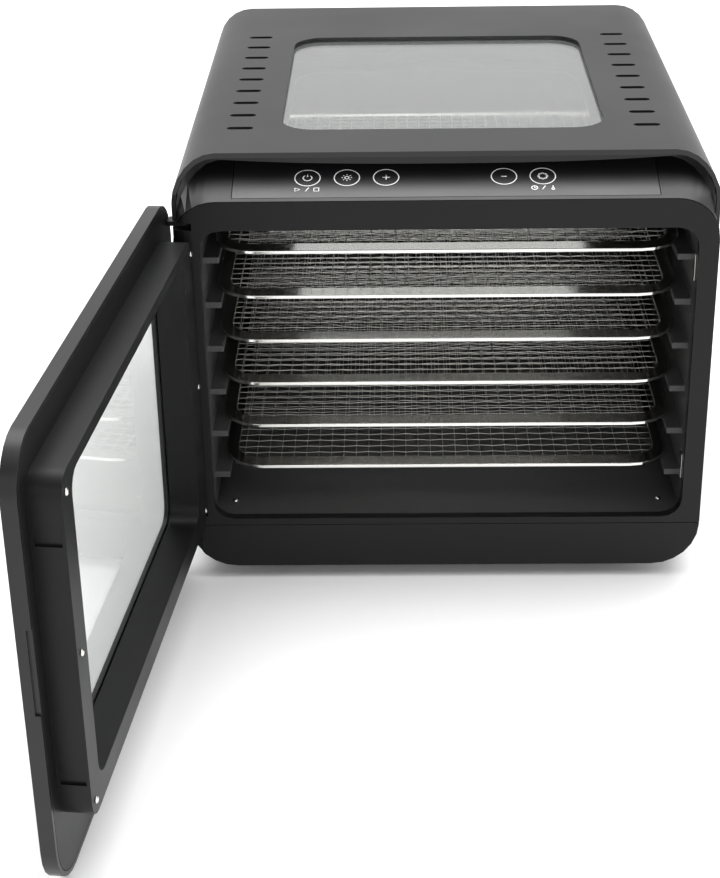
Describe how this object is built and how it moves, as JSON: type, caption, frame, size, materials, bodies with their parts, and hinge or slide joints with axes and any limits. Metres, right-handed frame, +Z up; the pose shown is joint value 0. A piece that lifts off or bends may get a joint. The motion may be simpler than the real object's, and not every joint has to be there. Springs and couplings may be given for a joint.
{
  "type": "food dehydrator",
  "caption": "Box food dehydrator with wire mesh trays on side ledges, a glazed door hung on the left, a window in the top and a sloping touch panel.",
  "frame": {"origin": "on the floor, under the middle of the box round the whole part with its door open", "axes": "+Z up, -Y out of the front, +X to the right of someone facing the front"},
  "size_m": [0.3516, 0.6264, 0.2688],
  "materials": {
    "black_plastic": "satin",
    "shell_paint": "satin",
    "dark_liner": "matte",
    "steel": "satin",
    "glass": "clear",
    "panel_glass": "gloss",
    "circuit_board": "matte",
    "rubber": "matte",
    "lamp_diffuser": "frosted"
  },
  "bodies": {
    "casing": {"back_panel": "black_plastic", "base_pan": "black_plastic", "chamber_ceiling": "dark_liner", "chamber_floor": "dark_liner", "control_board": "circuit_board", "control_fascia": "black_plastic", "control_glass": "panel_glass", "display_module": "panel_glass", "door_catch_lower": "steel", "door_catch_upper": "steel", "fan_motor": "steel", "floor_screw_left": "steel", "floor_screw_right": "steel", "foot_back_left": "rubber", "foot_back_right": "rubber", "foot_front_left": "rubber", "foot_front_right": "rubber", "front_frame": "black_plastic", "heater_element": "steel", "hinge_bracket_lower": "shell_paint", "hinge_bracket_upper": "shell_paint", "interior_lamp": "lamp_diffuser", "left_rack": "dark_liner", "outer_shell": "shell_paint", "power_board": "circuit_board", "power_inlet": "black_plastic", "rear_baffle": "dark_liner", "rear_bulkhead": "steel", "right_rack": "dark_liner", "thermostat": "steel", "top_window_glass": "glass", "window_retainer": "dark_liner"},
    "door": {"door_cover": "black_plastic", "door_glass": "glass", "door_inner_frame": "black_plastic", "door_screw_hinge_1": "steel", "door_screw_hinge_2": "steel", "door_screw_hinge_3": "steel", "door_screw_latch_1": "steel", "door_screw_latch_2": "steel", "door_screw_latch_3": "steel", "hinge_arm_lower": "shell_paint", "hinge_arm_upper": "shell_paint"},
    "fan": {"fan_impeller": "dark_liner", "fan_shaft": "steel"},
    "tray_1": {"tray_1_mesh": "steel", "tray_1_rim": "steel"},
    "tray_2": {"tray_2_mesh": "steel", "tray_2_rim": "steel"},
    "tray_3": {"tray_3_mesh": "steel", "tray_3_rim": "steel"},
    "tray_4": {"tray_4_mesh": "steel", "tray_4_rim": "steel"},
    "tray_5": {"tray_5_mesh": "steel", "tray_5_rim": "steel"},
    "tray_6": {"tray_6_mesh": "steel", "tray_6_rim": "steel"}
  },
  "joints": [
    {"name": "door_hinge", "type": "hinge", "parent": "casing", "child": "door", "pos_m": [-0.12771, -0.01227, 0.1384], "axis": [0, 0, -1], "range_deg": [-95.8, 4]},
    {"name": "tray_1_slide", "type": "slide", "parent": "casing", "child": "tray_1", "axis": [0, -1, 0], "range_m": [0, 0.2]},
    {"name": "tray_2_slide", "type": "slide", "parent": "casing", "child": "tray_2", "axis": [0, -1, 0], "range_m": [0, 0.2]},
    {"name": "tray_3_slide", "type": "slide", "parent": "casing", "child": "tray_3", "axis": [0, -1, 0], "range_m": [0, 0.2]},
    {"name": "tray_4_slide", "type": "slide", "parent": "casing", "child": "tray_4", "axis": [0, -1, 0], "range_m": [0, 0.2]},
    {"name": "tray_5_slide", "type": "slide", "parent": "casing", "child": "tray_5", "axis": [0, -1, 0], "range_m": [0, 0.2]},
    {"name": "tray_6_slide", "type": "slide", "parent": "casing", "child": "tray_6", "axis": [0, -1, 0], "range_m": [0, 0.2]},
    {"name": "fan_spin", "type": "hinge", "parent": "casing", "child": "fan", "pos_m": [0.02254, 0.28223, 0.136], "axis": [0, 1, 0], "continuous": true}
  ]
}
